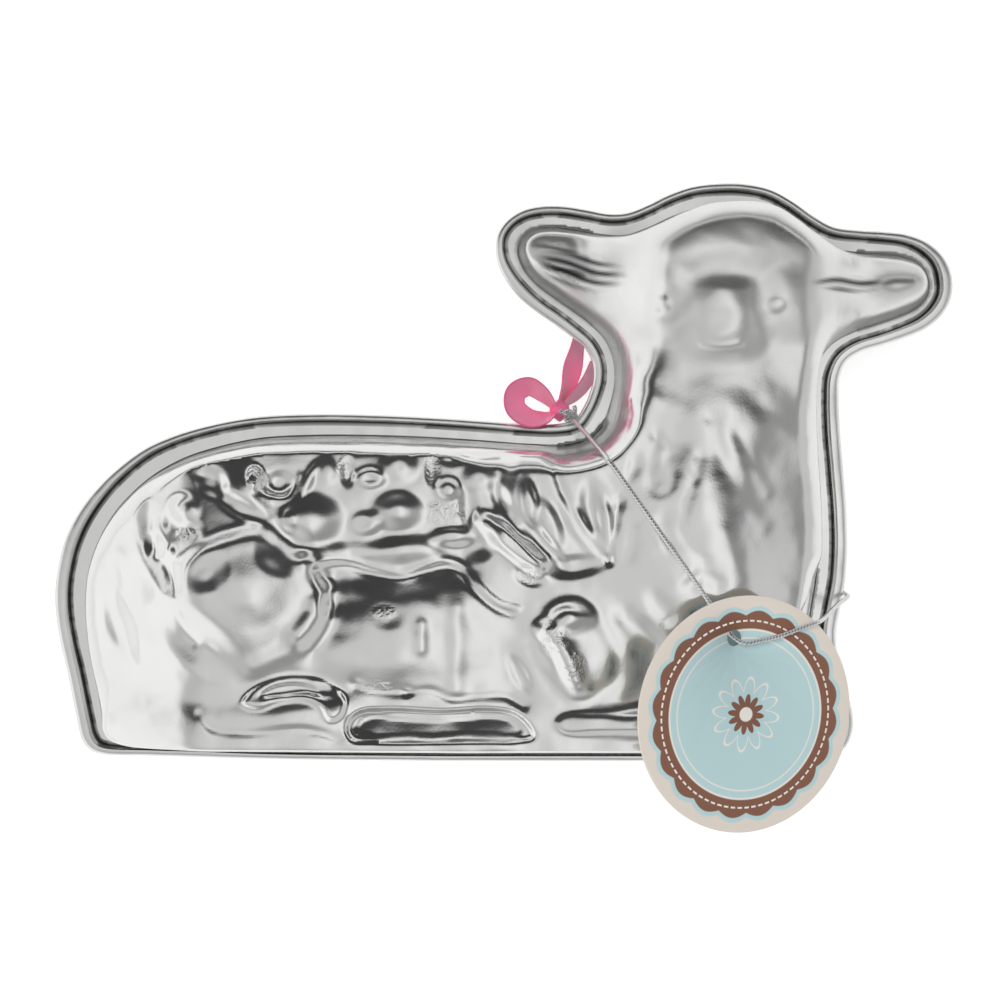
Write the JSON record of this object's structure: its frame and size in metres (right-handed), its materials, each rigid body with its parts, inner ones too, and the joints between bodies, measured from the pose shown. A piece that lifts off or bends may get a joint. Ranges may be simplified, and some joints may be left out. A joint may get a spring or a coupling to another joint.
{
  "type": "lamb cake mould",
  "caption": "Closed stamped aluminium cake mould shaped as a lying lamb, its halves nested at the rim and tied by an elastic cord with a round card tag and a ribbon bow.",
  "frame": {"origin": "on the flat of the back half that the mould lies on, under the middle of the lamb's body", "axes": "+X along the mould's length, towards the lamb's breast and head; +Y towards the top of the head; +Z out of the front half, up when the mould lies on its back half"},
  "size_m": [0.2917, 0.2038, 0.1197],
  "materials": {
    "back_sheet": "polished stamped sheet",
    "front_sheet": "polished stamped sheet",
    "cord": "silver covered elastic",
    "card": "matt printed card",
    "ribbon": "satin"
  },
  "bodies": {
    "back": {"back_half": "back_sheet", "cord_knot": "cord", "ribbon_bow": "ribbon", "elastic_cord": "cord"},
    "front": {"front_half": "front_sheet"},
    "tag": {"hang_tag": "card"}
  },
  "joints": [
    {"name": "front_lift", "type": "slide", "parent": "back", "child": "front", "axis": [0, 0, 1], "range_m": [0, 0.07], "deforming": ["elastic_cord"]},
    {"name": "tag_swing", "type": "hinge", "parent": "front", "child": "tag", "pos_m": [0.0704, -0.00877, 0.10846], "axis": [0.379, -0.0533, 0.9239], "range_deg": [-18, 18]}
  ]
}
